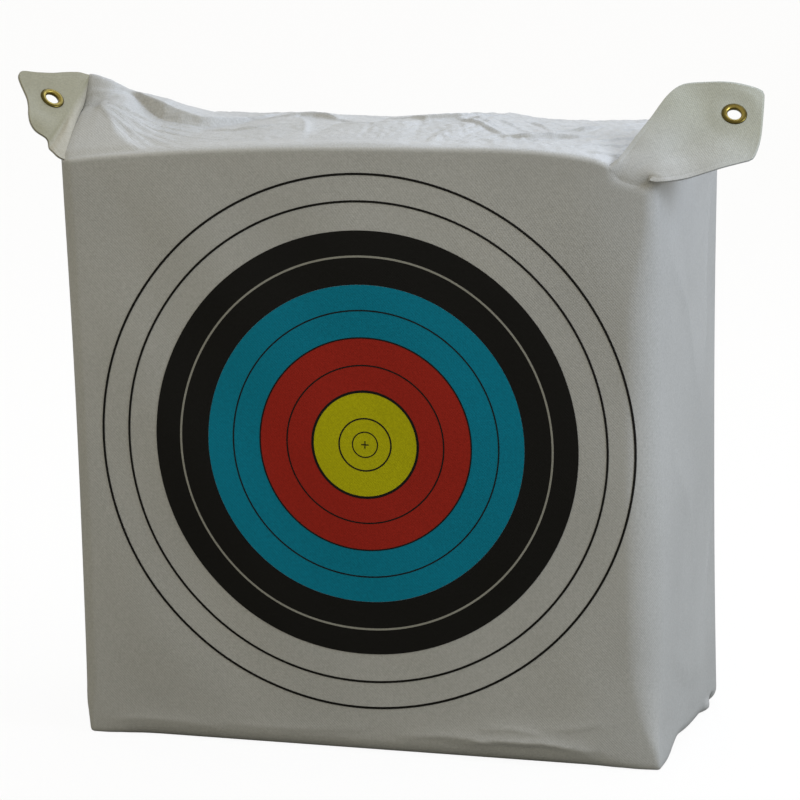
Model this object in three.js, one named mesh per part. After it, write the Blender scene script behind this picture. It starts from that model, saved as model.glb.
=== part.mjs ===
// Archery target boss of the stuffed-bag kind: a block of woven sheeting packed with
// compressed fibre, with a printed ten-zone face and a grommeted hanging ear at each top corner.
// Millimetres. The origin is the middle of the base, +Z is up and the printed face looks to -Y.
import * as THREE from "three";
import { mergeVertices } from "three/addons/utils/BufferGeometryUtils.js";

// Driving dimensions of the stuffed body
const bag = { width: 656, depth: 300, height: 655 };
const fold = { side: 14, top: 8, bottom: 16 };
const clothThickness = 1.6;
const linerThickness = 0.8;
const seamGap = 0.6;
const layerGap = 0.5;

// How the filling and the ears pull the block out of square
const lean = 10;
const backFlare = 21;
const sideCrown = 8;
const backCrown = 10;
const endSpread = 4.5;
const rightDraw = { inwards: 4, lean: 5 };
const frontEdgeCrown = 26.5;
const crownSkew = 3;
const ridgeRise = 11;
const backDrop = 16;
const rearCornerRise = 36;
const slackHeight = 130;
const horn = { rise: 69, reachX: 175, reachY: 127, forward: 22 };
const hornPower = 1.8;
const crownPowers = { left: 2.2, right: 4.5 };
const rearCornerPower = 4;

// What the bag holds
const fillLayers = 6;
const fillHeadroom = 45;
const linerHeadroom = 30;

// The printed face: ten zones of one width, in five colours
const face = { zone: 30, centreX: 4.5, centreZ: 351.6, inkTrap: 0.8 };
const ink = { thickness: 0.4, lift: 0.3, gap: 0.4, lineWidth: 2.2 };
const zonesPerColour = 2;
const outerLineZones = [9, 10];
const ringSegments = 56;

// The two hanging ears and their brass eyelets
const ear = { side: 88, ply: 1.2, plyGap: 0.3, rootGap: 0.4 };
const eyelet = { hole: 7.4, wall: 0.7, flange: 14.5, dome: 2, seat: 0.3, roll: 10.4, rollDepth: 1.1 };
const washer = { flange: 13.4, thickness: 0.8, fit: 0.3, seat: 0.3 };
const eyeletSegments = 22;
const hemSegments = 8;

// Facing of each ear in degrees, and its outline as shares of the ear's side,
// counted along the root and outwards, each with its corner radius
const leftEar = {
  facing: 52,
  tilt: 46,
  hingeLift: 1.6,
  eyeletShares: [0.94, 0.36],
  outlineShares: [
    [0, 0, 0],
    [1.66, 0, 0],
    [1.19, 0.9, 0.07],
    [0.75, 0.65, 0.09],
    [0.5, 0.59, 0.09],
    [0.34, 0.55, 0.04],
    [0.26, 0.43, 0.04],
    [0.2, 0.27, 0],
    [0.08, 0.19, 0],
  ],
};
const rightEar = {
  facing: 13.5,
  tilt: 47,
  hingeLift: 4,
  rootInsets: [52, 6],
  rootDrop: 3,
  eyeletShares: [1.1, 1.355],
  outlineShares: [
    [0, 0, 0],
    [0.62, 0, 0],
    [1.55, 0.87, 0.07],
    [1.33, 1.86, 0.06],
    [0.32, 1.63, 0.25],
  ],
};

// Grid lines over the block, as shares of the half width and half depth, and of the height
const widthShares = [-0.78, -0.55, -0.28, 0, 0.28, 0.55, 0.78];
const depthShares = [-0.57, (-2 * horn.forward) / bag.depth, 0.27, 0.63];
const heightShares = [0.2, 0.42, 0.62, 0.78, 0.88];
const roundingShare = 0.42;

// How deep under the skin the inner sack and the filling begin
const sackDepth = clothThickness + layerGap;
const fillDepth = sackDepth + linerThickness + layerGap;

const halfWidth = bag.width / 2;
const halfDepth = bag.depth / 2;
const halfHeight = bag.height / 2;

const colours = {
  cloth: 0xe4e3dc,
  liner: 0xcfd2cf,
  fill: 0x8f9295,
  brass: 0xb8923a,
  gold: 0xf0e21c,
  red: 0xd8322c,
  blue: 0x1aa0c8,
  black: 0x1c1b1a,
};

function finish(colour, roughness = 0.7, metalness = 0) {
  return new THREE.MeshStandardMaterial({ color: colours[colour], roughness, metalness });
}

function named(name, geometry, material) {
  const mesh = new THREE.Mesh(geometry, material);
  mesh.name = name;
  return mesh;
}

// The block's shape

// Rounds the folds of the plain block: a point between the inner core and the skin
// is swung from the square corner onto an ellipse.
function rounded(x, y, z) {
  const place = [x, y, z - halfHeight];
  const half = [halfWidth, halfDepth, halfHeight];
  const radius = [fold.side, fold.side, z > halfHeight ? fold.top : fold.bottom];
  const core = place.map((p, i) => THREE.MathUtils.clamp(p, radius[i] - half[i], half[i] - radius[i]));
  const out = place.map((p, i) => (p - core[i]) / radius[i]);
  const square = Math.max(...out.map(Math.abs));
  const round = Math.hypot(...out);
  const swing = round > 0 ? square / round : 0;
  const [px, py, pz] = core.map((c, i) => c + radius[i] * out[i] * swing);
  return [px, py, pz + halfHeight];
}

// How far the slack top stands above the plain block at one place
function topLift(x, y) {
  const across = THREE.MathUtils.clamp(x / halfWidth, -1, 1);
  const back = THREE.MathUtils.clamp(y / halfDepth, -1, 1);
  const power = across < 0 ? crownPowers.left : crownPowers.right;
  const crown = frontEdgeCrown * (1 - Math.abs(across) ** power) + crownSkew * Math.sin(Math.PI * across);
  const ridge = ridgeRise * (1 - back * back) - backDrop * Math.max(back, 0) ** 2;
  const rearCorner = rearCornerRise * Math.max(across, 0) ** rearCornerPower * (back + 1) / 2;
  const away = Math.hypot((x + halfWidth) / horn.reachX, (y + horn.forward) / horn.reachY);
  return crown + ridge + rearCorner + horn.rise * Math.max(0, 1 - away) ** hornPower;
}

// The whole way from the plain block to the stuffed, leaning, pulled-up bag
function bagPoint(x, y, z) {
  const [px, py, pz] = rounded(x, y, z);
  const across = px / halfWidth;
  const back = py / halfDepth;
  const up = pz / halfHeight - 1;
  const backShare = (back + 1) / 2;
  const sideBulge = sideCrown * across ** 3 * (1 - back * back) * (1 - up * up);
  const backBulge = backCrown * Math.max(back, 0) ** 3 * (1 - across * across) * (1 - up * up);
  const slack = THREE.MathUtils.smoothstep(pz, bag.height - slackHeight, bag.height);
  const spread = across * endSpread * up * up;
  const draw = Math.max(across, 0) * (rightDraw.lean * up - rightDraw.inwards);
  return new THREE.Vector3(
    px + across * backFlare * backShare + sideBulge - lean * up + spread + draw,
    py + backBulge,
    pz + topLift(px, py) * slack,
  );
}

// The same point on a layer that lies a given depth under the skin
function layerPoint([x, y, z], depth) {
  return bagPoint(
    x * (1 - depth / halfWidth),
    y * (1 - depth / halfDepth),
    halfHeight + (z - halfHeight) * (1 - depth / halfHeight),
  );
}

// Grid lines from one edge to the other, closer over the rounded folds
function gridLines(low, high, lowRadius, highRadius, inner, inset) {
  return [
    low + inset,
    low + lowRadius * (1 - roundingShare),
    low + lowRadius,
    ...inner,
    high - highRadius,
    high - highRadius * (1 - roundingShare),
    high - inset,
  ];
}

function widthLines(inset) {
  const inner = widthShares.map((s) => s * halfWidth);
  return gridLines(-halfWidth, halfWidth, fold.side, fold.side, inner, inset);
}

function depthLines(inset) {
  const inner = depthShares.map((s) => s * halfDepth);
  return gridLines(-halfDepth, halfDepth, fold.side, fold.side, inner, inset);
}

function heightLines(inset) {
  const inner = heightShares.map((s) => s * bag.height);
  return gridLines(0, bag.height, fold.bottom, fold.top, inner, inset);
}

// Cells of one side of a grid block, each turned so that its corners run round the outward side
function sideCells(lines, axis, end) {
  const across = (axis + 1) % 3;
  const along = (axis + 2) % 3;
  const fixed = end < 0 ? lines[axis][0] : lines[axis].at(-1);
  const cells = [];
  for (let i = 0; i + 1 < lines[across].length; i++) {
    for (let j = 0; j + 1 < lines[along].length; j++) {
      const corners = [[i, j], [i + 1, j], [i + 1, j + 1], [i, j + 1]].map(([a, b]) => {
        const place = [0, 0, 0];
        place[axis] = fixed;
        place[across] = lines[across][a];
        place[along] = lines[along][b];
        return place;
      });
      cells.push(end < 0 ? corners.reverse() : corners);
    }
  }
  return cells;
}

function closed(points, faces) {
  const geometry = new THREE.BufferGeometry().setFromPoints(points);
  geometry.setIndex(faces);
  const merged = mergeVertices(geometry);
  merged.computeVertexNormals();
  return merged;
}

// A cloth with two skins: the cells become its outside and its inside,
// and wherever a cell has no neighbour the two skins are closed by a rim.
function clothShell(cells, outside, inside) {
  const index = new Map();
  const points = [];
  const places = [];
  const find = (place) => {
    const key = place.map((v) => v.toFixed(3)).join();
    if (!index.has(key)) {
      index.set(key, places.length);
      places.push(place);
    }
    return index.get(key);
  };
  const quads = cells.map((cell) => cell.map(find));
  places.forEach((place) => points.push(outside(place)));
  places.forEach((place) => points.push(inside(place)));
  const deep = places.length;
  const faces = [];
  const edges = new Set();
  quads.forEach(([a, b, c, d]) => {
    faces.push(a, b, c, a, c, d);
    faces.push(a + deep, c + deep, b + deep, a + deep, d + deep, c + deep);
    [[a, b], [b, c], [c, d], [d, a]].forEach(([p, q]) => edges.add(p + "," + q));
  });
  edges.forEach((edge) => {
    const [p, q] = edge.split(",").map(Number);
    if (edges.has(q + "," + p)) return;
    faces.push(q, p, p + deep, q, p + deep, q + deep);
  });
  return closed(points, faces);
}

// The woven cover, one panel for each side of the block
function coverPanel(name, axis, end) {
  const inset = seamGap / 2;
  const lines = [widthLines(inset), depthLines(inset), heightLines(inset)];
  const half = [halfWidth, halfDepth];
  const fixed = axis < 2 ? end * half[axis] : end < 0 ? 0 : bag.height;
  lines[axis] = [fixed];
  const cells = sideCells(lines, axis, end);
  const outside = (place) => layerPoint(place, 0);
  const inside = (place) => layerPoint(place, clothThickness);
  return named(name, clothShell(cells, outside, inside), finish("cloth", 0.45));
}

function cover() {
  const group = new THREE.Group();
  group.add(
    coverPanel("front_panel", 1, -1),
    coverPanel("back_panel", 1, 1),
    coverPanel("left_side_panel", 0, -1),
    coverPanel("right_side_panel", 0, 1),
    coverPanel("top_panel", 2, 1),
    coverPanel("bottom_panel", 2, -1),
  );
  return group;
}

// The inner sack, open at its mouth, and the stack of pressed layers in it
function innerSack() {
  const heights = heightLines(0).filter((z) => z < bag.height - linerHeadroom);
  heights.push(bag.height - linerHeadroom);
  const lines = [widthLines(0), depthLines(0), heights];
  const cells = [
    ...sideCells(lines, 0, -1),
    ...sideCells(lines, 0, 1),
    ...sideCells(lines, 1, -1),
    ...sideCells(lines, 1, 1),
    ...sideCells(lines, 2, -1),
  ];
  const outside = (place) => layerPoint(place, sackDepth);
  const inside = (place) => layerPoint(place, sackDepth + linerThickness);
  return named("inner_sack", clothShell(cells, outside, inside), finish("liner", 0.8));
}

function fillLayer(number) {
  const pitch = bag.depth / fillLayers;
  const front = -halfDepth + pitch * number;
  const back = front + pitch - layerGap;
  const between = depthLines(0).filter((y) => y > front && y < back);
  const heights = heightLines(0).filter((z) => z < bag.height - fillHeadroom);
  const lines = [widthLines(0), [front, ...between, back], [...heights, bag.height - fillHeadroom]];
  const points = [];
  const faces = [];
  for (const [axis, end] of [[0, -1], [0, 1], [1, -1], [1, 1], [2, -1], [2, 1]]) {
    for (const cell of sideCells(lines, axis, end)) {
      const first = points.length;
      cell.forEach((place) => points.push(layerPoint(place, fillDepth)));
      faces.push(first, first + 1, first + 2, first, first + 2, first + 3);
    }
  }
  return named("fill_layer_" + (number + 1), closed(points, faces), finish("fill", 0.95));
}

function stuffing() {
  const group = new THREE.Group();
  group.add(innerSack());
  for (let number = 0; number < fillLayers; number++) group.add(fillLayer(number));
  return group;
}

// Printed colours: flat rings of ink on the front panel
function inkRing(name, colour, inner, outer) {
  const near = halfDepth + ink.lift;
  const far = near + ink.thickness;
  const profile = [
    new THREE.Vector2(inner, -far),
    new THREE.Vector2(outer, -far),
    new THREE.Vector2(outer, -near),
    new THREE.Vector2(inner, -near),
  ];
  if (inner > 0) profile.push(profile[0].clone());
  const ring = named(name, new THREE.LatheGeometry(profile, ringSegments), finish(colour, 0.5));
  ring.position.set(face.centreX, 0, face.centreZ);
  return ring;
}

function printedFace() {
  const group = new THREE.Group();
  ["gold", "red", "blue", "black"].forEach((colour, number) => {
    const step = zonesPerColour * face.zone;
    const outer = step * (number + 1) - face.inkTrap;
    const inner = number === 0 ? 0 : step * number - face.inkTrap + ink.gap;
    group.add(inkRing("printed_" + colour, colour, inner, outer));
  });
  outerLineZones.forEach((zones) => {
    const middle = face.zone * zones;
    const half = ink.lineWidth / 2;
    group.add(inkRing("printed_line_" + zones, "black", middle - half, middle + half));
  });
  return group;
}

// Ears

// An outline whose corners are cut by their own radius, as shares of the ear's side
function earOutline(outlineShares) {
  const corners = outlineShares.map(([along, out, radius]) => ({
    at: new THREE.Vector2(along * ear.side, Math.max(out * ear.side, ear.rootGap)),
    radius: radius * ear.side,
  }));
  const shape = new THREE.Shape();
  corners.forEach(({ at, radius }, i) => {
    const before = corners.at(i - 1).at;
    const after = corners[(i + 1) % corners.length].at;
    const enter = at.clone().add(before.clone().sub(at).setLength(radius));
    const leave = at.clone().add(after.clone().sub(at).setLength(radius));
    if (i === 0) shape.moveTo(leave.x, leave.y);
    else shape.lineTo(enter.x, enter.y);
    if (radius > 0) shape.quadraticCurveTo(at.x, at.y, leave.x, leave.y);
  });
  shape.closePath();
  return shape;
}

function earPly(name, design, low) {
  const shape = earOutline(design.outlineShares);
  const hole = new THREE.Path();
  const [along, out] = design.eyeletShares.map((s) => s * ear.side);
  hole.absarc(along, out, eyelet.hole + eyelet.wall + washer.fit, 0, 2 * Math.PI, true);
  shape.holes.push(hole);
  const geometry = new THREE.ExtrudeGeometry(shape, {
    depth: ear.ply,
    bevelEnabled: false,
    curveSegments: hemSegments,
  });
  geometry.translate(0, 0, low);
  return named(name, geometry, finish("cloth", 0.45));
}

// A round metal part turned about the ear's own normal
function turned(name, design, profile) {
  const geometry = new THREE.LatheGeometry(profile, eyeletSegments);
  geometry.rotateX(Math.PI / 2);
  const part = named(name, geometry, finish("brass", 0.3, 1));
  const [along, out] = design.eyeletShares.map((s) => s * ear.side);
  part.position.set(along, out, 0);
  return part;
}

function eyeletProfile(front, back) {
  const wall = eyelet.hole + eyelet.wall;
  const crown = (eyelet.hole + eyelet.flange) / 2;
  const rim = front + eyelet.seat;
  const top = rim + eyelet.dome;
  const end = back - washer.seat - washer.thickness - washer.seat;
  return [
    [eyelet.hole, end - eyelet.rollDepth],
    [eyelet.hole, top - eyelet.dome / 2],
    [(eyelet.hole + crown) / 2, top],
    [crown, top],
    [eyelet.flange, rim + eyelet.wall],
    [eyelet.flange, rim],
    [crown, rim + eyelet.wall],
    [wall, rim],
    [wall, end],
    [eyelet.roll, end],
    [eyelet.roll, end - eyelet.rollDepth / 2],
    [wall, end - eyelet.rollDepth],
    [eyelet.hole, end - eyelet.rollDepth],
  ].map(([r, h]) => new THREE.Vector2(r, h)).reverse();
}

function washerProfile(back) {
  const inner = eyelet.hole + eyelet.wall + washer.fit;
  const high = back - washer.seat;
  const low = high - washer.thickness;
  return [
    [inner, low],
    [washer.flange, low],
    [washer.flange, high],
    [inner, high],
    [inner, low],
  ].map(([r, h]) => new THREE.Vector2(r, h));
}

// Where an ear's root line starts or ends: just outside the cover at one place of the block
function rootPoint(place, lift) {
  const skin = layerPoint(place, 0);
  const outwards = skin.clone().sub(layerPoint(place, clothThickness));
  return skin.add(outwards.setLength(lift));
}

// An ear lies in its own frame: X along the root, Y outwards, Z towards the front
function hangingEar(side, design, startPlace, endPlace) {
  const rootStart = rootPoint(startPlace, design.hingeLift);
  const rootEnd = rootPoint(endPlace, design.hingeLift);
  const facing = THREE.MathUtils.degToRad(design.facing);
  const tilt = THREE.MathUtils.degToRad(design.tilt);
  const front = new THREE.Vector3(
    Math.sin(facing) * Math.cos(tilt),
    -Math.cos(facing) * Math.cos(tilt),
    Math.sin(tilt),
  );
  const along = rootEnd.clone().sub(rootStart).normalize();
  const out = new THREE.Vector3().crossVectors(front, along).normalize();
  front.crossVectors(along, out);
  const group = new THREE.Group();
  group.applyMatrix4(new THREE.Matrix4().makeBasis(along, out, front));
  group.position.copy(rootStart);
  group.userData.hinge = side + "_ear_fold";
  const frontLow = ear.plyGap / 2;
  const backLow = -frontLow - ear.ply;
  const eyeletPoints = eyeletProfile(frontLow + ear.ply, backLow);
  group.add(
    earPly(side + "_ear_front_ply", design, frontLow),
    earPly(side + "_ear_back_ply", design, backLow),
    turned(side + "_eyelet", design, eyeletPoints),
    turned(side + "_eyelet_washer", design, washerProfile(backLow)),
  );
  return group;
}

const frontLeftCorner = [-halfWidth, -halfDepth, bag.height];
const hornPeak = [-halfWidth, -horn.forward, bag.height];
const [farInset, nearInset] = rightEar.rootInsets;
const frontEdge = [halfWidth - farInset, -halfDepth, bag.height];
const frontRightCorner = [halfWidth - nearInset, -halfDepth, bag.height - rightEar.rootDrop];

const target = new THREE.Group();
target.add(
  cover(),
  stuffing(),
  printedFace(),
  hangingEar("left", leftEar, frontLeftCorner, hornPeak),
  hangingEar("right", rightEar, frontEdge, frontRightCorner),
);

export default target;
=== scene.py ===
# %% [markdown]
# # A stuffed archery target
# This lesson dresses the measured frame of a bag target: a block of glossy woven sheeting
# packed with fibre, printed with a ten-zone face, with a cloth ear and a brass eyelet at each
# front top corner. All lengths are metres. +Z is up and the printed face looks to -Y.
# The frame gives each body and node its place, so the first step loads it.

# %% Load the frame
import math
import bmesh
import bpy
import numpy as np
from mathutils import Matrix, Vector


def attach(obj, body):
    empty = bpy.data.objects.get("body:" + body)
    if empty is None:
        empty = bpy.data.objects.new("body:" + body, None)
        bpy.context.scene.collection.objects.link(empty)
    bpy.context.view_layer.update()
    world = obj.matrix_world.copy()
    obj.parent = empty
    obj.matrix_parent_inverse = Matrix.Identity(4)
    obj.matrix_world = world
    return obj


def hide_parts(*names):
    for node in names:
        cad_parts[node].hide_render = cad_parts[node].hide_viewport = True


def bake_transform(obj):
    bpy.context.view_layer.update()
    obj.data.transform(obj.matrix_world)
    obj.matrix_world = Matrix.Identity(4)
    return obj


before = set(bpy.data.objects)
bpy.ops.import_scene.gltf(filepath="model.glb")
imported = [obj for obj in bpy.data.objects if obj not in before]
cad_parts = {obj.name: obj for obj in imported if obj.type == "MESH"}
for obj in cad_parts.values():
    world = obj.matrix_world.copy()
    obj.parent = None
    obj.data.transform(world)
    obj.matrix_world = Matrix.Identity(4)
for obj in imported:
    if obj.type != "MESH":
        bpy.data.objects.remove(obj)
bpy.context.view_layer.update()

# %% [markdown]
# ## The camera
# The photograph was taken from some distance with a long lens, a little to the right of the
# face and a little above it. The printed rings give that angle: their width and height in the
# picture are those of a circle turned by 13.5 degrees and tilted by 12.5.

# %% Camera
AZIMUTH, ELEVATION = math.radians(13.5), math.radians(12.5)
CAMERA_DISTANCE = 4.5
PICTURE_WIDTH_SHARE = 1.1056
SENSOR = 0.036
aim = Vector((0.0078, 0.0, 0.3696))

away = Vector((math.sin(AZIMUTH) * math.cos(ELEVATION),
               -math.cos(AZIMUTH) * math.cos(ELEVATION),
               math.sin(ELEVATION)))
camera = bpy.data.objects.new("camera", bpy.data.cameras.new("camera"))
bpy.context.scene.collection.objects.link(camera)
camera.location = aim + away * CAMERA_DISTANCE
camera.rotation_euler = (-away).to_track_quat("-Z", "Y").to_euler()
camera.data.sensor_width = SENSOR * 1000
camera.data.lens = SENSOR * 1000 * PICTURE_WIDTH_SHARE * CAMERA_DISTANCE
bpy.context.scene.camera = camera
print("camera at", [round(v, 3) for v in camera.location])

# %% [markdown]
# ## The stuffed block
# Underneath the creases the bag is a block whose folds are rounded, whose sides bulge, and whose
# slack top is pulled up into a horn at the left ear. One function maps every point of a plain
# block onto that shape, so that the cover, the inner sack and the filling all fit together.

# %% Shape of the block
BAG = np.array([0.656, 0.300, 0.655])
HALF = BAG / 2
FOLD_SIDE, FOLD_TOP, FOLD_BOTTOM = 0.014, 0.008, 0.016
LEAN, BACK_FLARE = 0.010, 0.021
SIDE_CROWN, BACK_CROWN = 0.008, 0.010
END_SPREAD, RIGHT_DRAW, RIGHT_LEAN = 0.0045, 0.004, 0.005
FRONT_EDGE_CROWN, CROWN_SKEW = 0.0265, 0.003
RIDGE_RISE, BACK_DROP, REAR_CORNER_RISE = 0.011, 0.016, 0.036
SLACK_HEIGHT = 0.130
HORN_RISE, HORN_REACH, HORN_FORWARD, HORN_POWER = 0.069, (0.175, 0.127), 0.022, 1.8
CROWN_POWERS, REAR_CORNER_POWER = (2.2, 4.5), 4
SOFT_EDGE, CRISP_EDGE, POINTED = 0.018, 0.0035, 0.010
HEM_LIFT, HEM_MIDDLE, HEM_REACH, HEM_FROM = 0.006, -0.048, 0.045, 0.26
NUB_PLACE, NUB_REACH, NUB_OUT = 0.088, 0.011, 0.006
NOTCH_PLACE, NOTCH_REACH, NOTCH_IN, NOTCH_LIFT = 0.112, 0.009, 0.006, 0.008
FOOT_DRAW, FOOT_HEIGHT = (0.005, 0.003), 0.045
EDGE_ROLL, ROLL_FROM, ROLL_WIDTH = 0.0075, 0.235, 0.093


def smoothstep(value, low, high):
    share = np.clip((value - low) / (high - low), 0, 1)
    return share * share * (3 - 2 * share)


def fold_radii(place, dressed):
    """Radius of the nearest fold. Dressed, the front has one soft edge and pointed feet."""
    radius = np.empty_like(place)
    radius[:, :2] = FOLD_SIDE
    radius[:, 2] = np.where(place[:, 2] > 0, FOLD_TOP, FOLD_BOTTOM)
    if dressed:
        x, y, z = place.T + np.array([[0], [0], [HALF[2]]])
        front, low = smoothstep(-y, 0.05, 0.12), z < HALF[2]
        foot = front * smoothstep(np.abs(x), 0.24, 0.32) * low
        soft = SOFT_EDGE * (x > 0) * (y < 0) * smoothstep(z, 0.02, 0.12)
        soft *= 1 - smoothstep(z, 0.50, 0.62)
        radius[:, :2] += (soft - POINTED * foot * (1 - smoothstep(z, 0, 0.06)))[:, None]
        radius[:, 2] -= CRISP_EDGE * front * ~low + POINTED * foot
    return radius


def rounded(places, dressed):
    """Swings each point near an edge of the plain block onto an ellipse round that edge."""
    place = places - [0, 0, HALF[2]]
    radius = fold_radii(place, dressed)
    core = np.clip(place, radius - HALF, HALF - radius)
    out = (place - core) / radius
    square = np.abs(out).max(axis=1)
    turned = np.linalg.norm(out, axis=1)
    swing = np.divide(square, turned, out=np.zeros_like(square), where=turned > 0)
    return core + radius * out * swing[:, None] + [0, 0, HALF[2]]


def top_lift(x, y):
    """How far the slack top stands above the plain block."""
    across = np.clip(x / HALF[0], -1, 1)
    back = np.clip(y / HALF[1], -1, 1)
    power = np.where(across < 0, *CROWN_POWERS)
    crown = FRONT_EDGE_CROWN * (1 - np.abs(across) ** power) + CROWN_SKEW * np.sin(np.pi * across)
    ridge = RIDGE_RISE * (1 - back * back) - BACK_DROP * np.maximum(back, 0) ** 2
    rear_corner = REAR_CORNER_RISE * np.maximum(across, 0) ** REAR_CORNER_POWER * (back + 1) / 2
    away = np.hypot((x + HALF[0]) / HORN_REACH[0], (y + HORN_FORWARD) / HORN_REACH[1])
    return crown + ridge + rear_corner + HORN_RISE * np.maximum(0, 1 - away) ** HORN_POWER


def hem_lift(x, y, z):
    """The right bottom hem stands a little off the floor and is bunched near the back."""
    near = smoothstep(x, HEM_FROM, HALF[0]) * (1 - smoothstep(z, 0, 0.05))
    tight = smoothstep(x, 0.30, HALF[0]) * (1 - smoothstep(z, 0.004, 0.018))
    arch = near * np.exp(-((y - HEM_MIDDLE) / HEM_REACH) ** 2)
    nub = tight * np.exp(-((y - NUB_PLACE) / NUB_REACH) ** 2)
    notch = tight * np.exp(-((y - NOTCH_PLACE) / NOTCH_REACH) ** 2)
    left, right = [draw * smoothstep(side * x, HEM_FROM, HALF[0])
                   for side, draw in zip((-1, 1), FOOT_DRAW)]
    feet = (1 - smoothstep(z, 0, FOOT_HEIGHT)) * (left + right)
    feet *= 1 - smoothstep(y, -HALF[1] + 0.012, -0.020)
    return feet + NUB_OUT * nub - NOTCH_IN * notch, HEM_LIFT * arch + NOTCH_LIFT * notch


def front_roll(x, y, z):
    """The front rolls back towards its right edge, most at the edge's two ends."""
    ends = 0.35 + 0.65 * smoothstep(np.abs(z - HALF[2]), 0.16, 0.28)
    turned = np.clip((x - ROLL_FROM) / ROLL_WIDTH, 0, 1) ** 2
    return EDGE_ROLL * turned * ends * (1 - smoothstep(y, -HALF[1], 0.0))


def bag_points(places, depth=0.0, dressed=True):
    """From the plain block to the stuffed bag, on a layer some depth under the skin."""
    shrink = 1 - depth / HALF
    x, y, z = rounded((places - [0, 0, HALF[2]]) * shrink + [0, 0, HALF[2]], dressed).T
    across, back, up = x / HALF[0], y / HALF[1], z / HALF[2] - 1
    side_bulge = SIDE_CROWN * across ** 3 * (1 - back * back) * (1 - up * up)
    back_bulge = BACK_CROWN * np.maximum(back, 0) ** 3 * (1 - across * across) * (1 - up * up)
    slack = smoothstep(z, BAG[2] - SLACK_HEIGHT, BAG[2])
    spread = END_SPREAD * across * up * up + np.maximum(across, 0) * (RIGHT_LEAN * up - RIGHT_DRAW)
    lift_x, lift_z = hem_lift(x, y, z) if dressed else (0, 0)
    roll = front_roll(x, y, z) if dressed else 0
    flare = across * BACK_FLARE * (back + 1) / 2
    return np.stack([x + flare + side_bulge - LEAN * up + spread + lift_x,
                     y + back_bulge + roll,
                     z + top_lift(x, y) * slack + lift_z], axis=1)


corner = bag_points(np.array([[-HALF[0], -HALF[1], BAG[2]]]), dressed=False)[0]
print("front left top corner at", corner.round(4))

# %% [markdown]
# ## A skin for the block
# Cloth needs many small faces where it creases and few where it is taut. The lines of the grid
# are therefore close together over the slack top and the rounded folds, and further apart on
# the sides. Each face keeps its place on the flat cloth as a UV in metres, for the weave.

# %% Grid lines and the block's skin
FOLD_SHARES = np.array([0.0, 0.1, 0.28, 0.5, 0.75])
HEM_TOP, HEM_ROW = 0.055, 0.0025


def grid_lines(low, high, low_radius, high_radius, step, fine_from=None, fine_step=None):
    """Lines along one axis: close at both folds, even between them, finer from fine_from on."""
    inner = np.linspace(low + low_radius, high - high_radius,
                        max(2, round((high - high_radius - low - low_radius) / step)) + 1)
    if fine_from is not None:
        coarse = inner[inner < fine_from - step / 2]
        fine = np.arange(fine_from, high - high_radius - fine_step / 2, fine_step)
        inner = np.concatenate([coarse, fine, [high - high_radius]])
    return np.concatenate([low + low_radius * FOLD_SHARES, inner,
                           high - high_radius * FOLD_SHARES[::-1]])


def block_skin(lines, open_top=False):
    """Places, faces and cloth UVs of the six sides of a block with these grid lines."""
    number, places, faces, uvs = {}, [], [], []

    def vertex(key):
        if key not in number:
            number[key] = len(places)
            places.append([lines[a][k] for a, k in enumerate(key)])
        return number[key]

    for axis in range(3):
        across, along = (axis + 1) % 3, (axis + 2) % 3
        shown = (min(across, along), max(across, along))
        for end in (0, len(lines[axis]) - 1):
            if open_top and axis == 2 and end:
                continue
            for i in range(len(lines[across]) - 1):
                for j in range(len(lines[along]) - 1):
                    face = []
                    for a, b in ((i, j), (i + 1, j), (i + 1, j + 1), (i, j + 1)):
                        key = [0, 0, 0]
                        key[axis], key[across], key[along] = end, a, b
                        face.append(tuple(key))
                    if end == 0:
                        face.reverse()
                    faces.append([vertex(key) for key in face])
                    uvs.extend([lines[shown[0]][key[shown[0]]], lines[shown[1]][key[shown[1]]]]
                               for key in face)
    return np.array(places), faces, uvs


def add_mesh(name, points, faces, uvs=None, smooth=True):
    mesh = bpy.data.meshes.new(name)
    mesh.from_pydata([tuple(p) for p in points], [], [tuple(f) for f in faces])
    if uvs is not None:
        layer = mesh.uv_layers.new(name="cloth")
        layer.data.foreach_set("uv", np.array(uvs, np.float32).ravel())
    mesh.polygons.foreach_set("use_smooth", np.full(len(faces), smooth))
    mesh.update()
    thing = bpy.data.objects.new(name, mesh)
    bpy.context.scene.collection.objects.link(thing)
    return thing


# close rows at the slack top and, for its small creases, at the hem
upright = grid_lines(0, BAG[2], FOLD_BOTTOM, FOLD_TOP, step=0.010,
                     fine_from=BAG[2] - 0.090, fine_step=0.004)
upright = np.concatenate([upright[upright < FOLD_BOTTOM + 1e-6],
                          np.arange(FOLD_BOTTOM + HEM_ROW, HEM_TOP, HEM_ROW),
                          upright[upright > HEM_TOP + 0.001]])
cover_lines = [grid_lines(-HALF[0], HALF[0], FOLD_SIDE, FOLD_SIDE, step=0.0030),
               grid_lines(-HALF[1], HALF[1], FOLD_SIDE, FOLD_SIDE, step=0.0021), upright]
cover_places, cover_faces, cover_uvs = block_skin(cover_lines)
print(len(cover_places), "points and", len(cover_faces), "faces in the cover")

# %% [markdown]
# ## Creases of the slack top
# The photograph shows which folds the top has: a flat facet under the left ear, a step behind
# it where the cloth is pulled up, a fan of pleats from the horn, two humps on the far ridge and
# a few sharp creases. Most are a ridge along a short line, so a small helper draws them from
# tables, which give their lengths in millimetres.

# %% Folds of the top
WAVES = 9


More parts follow.
